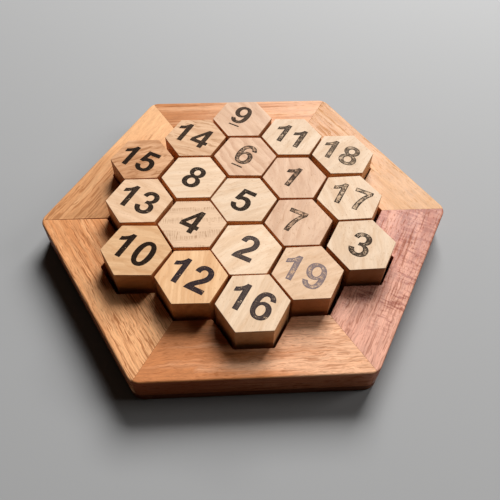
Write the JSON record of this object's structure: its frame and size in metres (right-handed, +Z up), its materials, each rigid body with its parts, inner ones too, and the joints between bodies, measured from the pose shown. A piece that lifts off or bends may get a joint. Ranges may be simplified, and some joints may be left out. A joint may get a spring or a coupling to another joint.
{
  "type": "hexagon number puzzle",
  "caption": "Hexagonal wooden tray of mitred rails on a floor board, holding loose hexagonal number tiles that lift straight out of their places.",
  "frame": {"origin": "middle of the tray's underside, on the surface it stands on", "axes": "+Z up; +X towards the tray corner on the side of tiles 3, 17 and 18; +Y towards the flat side beyond tile 9"},
  "size_m": [0.1494, 0.1306, 0.0209],
  "materials": {
    "rail_wood_orange": "satin oiled",
    "rail_wood_light": "satin oiled",
    "rail_wood_pink": "satin oiled",
    "floor_wood": "matte",
    "tile_wood_pale": "satin sanded",
    "tile_wood_tan": "satin sanded",
    "tile_wood_amber": "satin sanded",
    "printed_ink": "worn matte ink"
  },
  "bodies": {
    "tray": {"base_board": "floor_wood", "rail_back_right": "rail_wood_light", "rail_back": "rail_wood_orange", "rail_back_left": "rail_wood_light", "rail_front_left": "rail_wood_orange", "rail_front": "rail_wood_orange", "rail_front_right": "rail_wood_pink"},
    "tile_01": {"tile_01": "tile_wood_tan"},
    "tile_02": {"tile_02": "tile_wood_pale"},
    "tile_03": {"tile_03": "tile_wood_pale"},
    "tile_04": {"tile_04": "tile_wood_pale"},
    "tile_05": {"tile_05": "tile_wood_pale"},
    "tile_06": {"tile_06": "tile_wood_tan"},
    "tile_07": {"tile_07": "tile_wood_tan"},
    "tile_08": {"tile_08": "tile_wood_pale"},
    "tile_09": {"tile_09": "tile_wood_tan"},
    "tile_10": {"tile_10": "tile_wood_amber"},
    "tile_11": {"tile_11": "tile_wood_pale"},
    "tile_12": {"tile_12": "tile_wood_amber"},
    "tile_13": {"tile_13": "tile_wood_pale"},
    "tile_14": {"tile_14": "tile_wood_amber"},
    "tile_15": {"tile_15": "tile_wood_amber"},
    "tile_16": {"tile_16": "tile_wood_pale"},
    "tile_17": {"tile_17": "tile_wood_pale"},
    "tile_18": {"tile_18": "tile_wood_pale"},
    "tile_19": {"tile_19": "tile_wood_tan"}
  },
  "joints": [
    {"name": "lift_01", "type": "slide", "parent": "tray", "child": "tile_01", "axis": [0, 0, 1], "range_m": [0, 0.025]},
    {"name": "lift_02", "type": "slide", "parent": "tray", "child": "tile_02", "axis": [0, 0, 1], "range_m": [0, 0.025]},
    {"name": "lift_03", "type": "slide", "parent": "tray", "child": "tile_03", "axis": [0, 0, 1], "range_m": [0, 0.025]},
    {"name": "lift_04", "type": "slide", "parent": "tray", "child": "tile_04", "axis": [0, 0, 1], "range_m": [0, 0.025]},
    {"name": "lift_05", "type": "slide", "parent": "tray", "child": "tile_05", "axis": [0, 0, 1], "range_m": [0, 0.025]},
    {"name": "lift_06", "type": "slide", "parent": "tray", "child": "tile_06", "axis": [0, 0, 1], "range_m": [0, 0.025]},
    {"name": "lift_07", "type": "slide", "parent": "tray", "child": "tile_07", "axis": [0, 0, 1], "range_m": [0, 0.025]},
    {"name": "lift_08", "type": "slide", "parent": "tray", "child": "tile_08", "axis": [0, 0, 1], "range_m": [0, 0.025]},
    {"name": "lift_09", "type": "slide", "parent": "tray", "child": "tile_09", "axis": [0, 0, 1], "range_m": [0, 0.025]},
    {"name": "lift_10", "type": "slide", "parent": "tray", "child": "tile_10", "axis": [0, 0, 1], "range_m": [0, 0.025]},
    {"name": "lift_11", "type": "slide", "parent": "tray", "child": "tile_11", "axis": [0, 0, 1], "range_m": [0, 0.025]},
    {"name": "lift_12", "type": "slide", "parent": "tray", "child": "tile_12", "axis": [0, 0, 1], "range_m": [0, 0.025]},
    {"name": "lift_13", "type": "slide", "parent": "tray", "child": "tile_13", "axis": [0, 0, 1], "range_m": [0, 0.025]},
    {"name": "lift_14", "type": "slide", "parent": "tray", "child": "tile_14", "axis": [0, 0, 1], "range_m": [0, 0.025]},
    {"name": "lift_15", "type": "slide", "parent": "tray", "child": "tile_15", "axis": [0, 0, 1], "range_m": [0, 0.025]},
    {"name": "lift_16", "type": "slide", "parent": "tray", "child": "tile_16", "axis": [0, 0, 1], "range_m": [0, 0.025]},
    {"name": "lift_17", "type": "slide", "parent": "tray", "child": "tile_17", "axis": [0, 0, 1], "range_m": [0, 0.025]},
    {"name": "lift_18", "type": "slide", "parent": "tray", "child": "tile_18", "axis": [0, 0, 1], "range_m": [0, 0.025]},
    {"name": "lift_19", "type": "slide", "parent": "tray", "child": "tile_19", "axis": [0, 0, 1], "range_m": [0, 0.025]}
  ]
}
